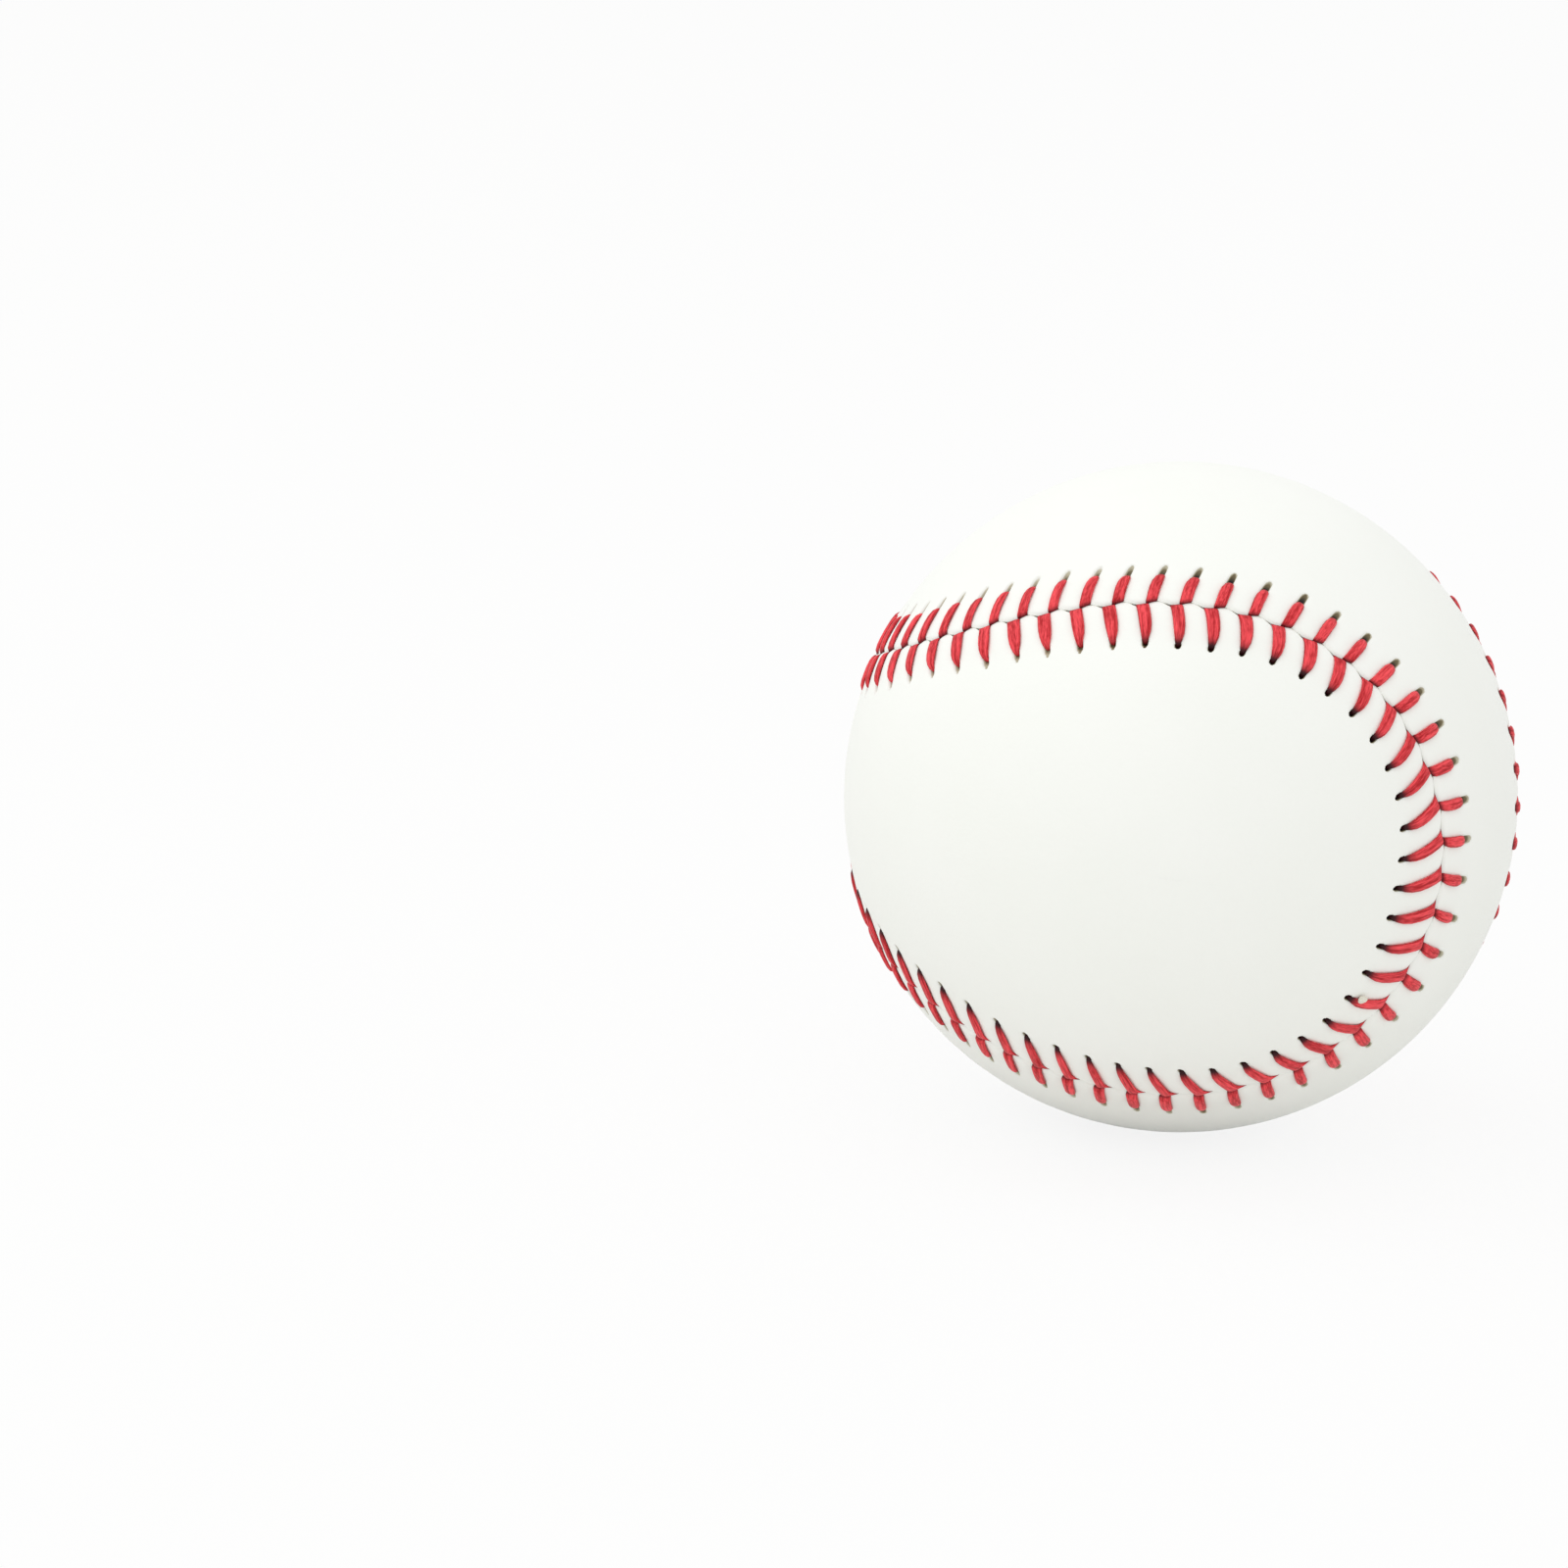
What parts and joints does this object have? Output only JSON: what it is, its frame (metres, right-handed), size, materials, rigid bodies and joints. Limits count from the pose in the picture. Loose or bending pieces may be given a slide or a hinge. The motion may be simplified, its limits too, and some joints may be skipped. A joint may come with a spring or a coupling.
{
  "type": "baseball",
  "caption": "Hard sewn ball with a cushioned cork core, wound yarn, a two-panel white cover and raised red stitches.",
  "frame": {"origin": "centre of the ball", "axes": "X is the axis of the seam: panel a is centred on +X with its lobes at +Z and -Z, panel b is centred on -X with its lobes at +Y and -Y"},
  "size_m": [0.0742, 0.0742, 0.0742],
  "materials": {
    "cork": "fine granules, matt",
    "black_rubber": "matt moulded",
    "red_rubber": "matt moulded",
    "grey_wool": "tightly wound wool",
    "white_wool": "tightly wound wool",
    "white_yarn": "tightly wound cotton and polyester",
    "cover": "white, fine grain, satin",
    "seam_thread": "red waxed thread, pulled flat"
  },
  "bodies": {
    "root": {"cork_core": "cork", "black_rubber_shell_a": "black_rubber", "black_rubber_shell_b": "black_rubber", "shell_gasket": "red_rubber", "red_rubber_jacket": "red_rubber", "first_winding": "grey_wool", "second_winding": "white_wool", "third_winding": "grey_wool", "finishing_winding": "white_yarn", "cover_panel_a": "cover", "cover_panel_b": "cover", "seam_thread_a": "seam_thread", "seam_thread_b": "seam_thread"}
  },
  "joints": []
}
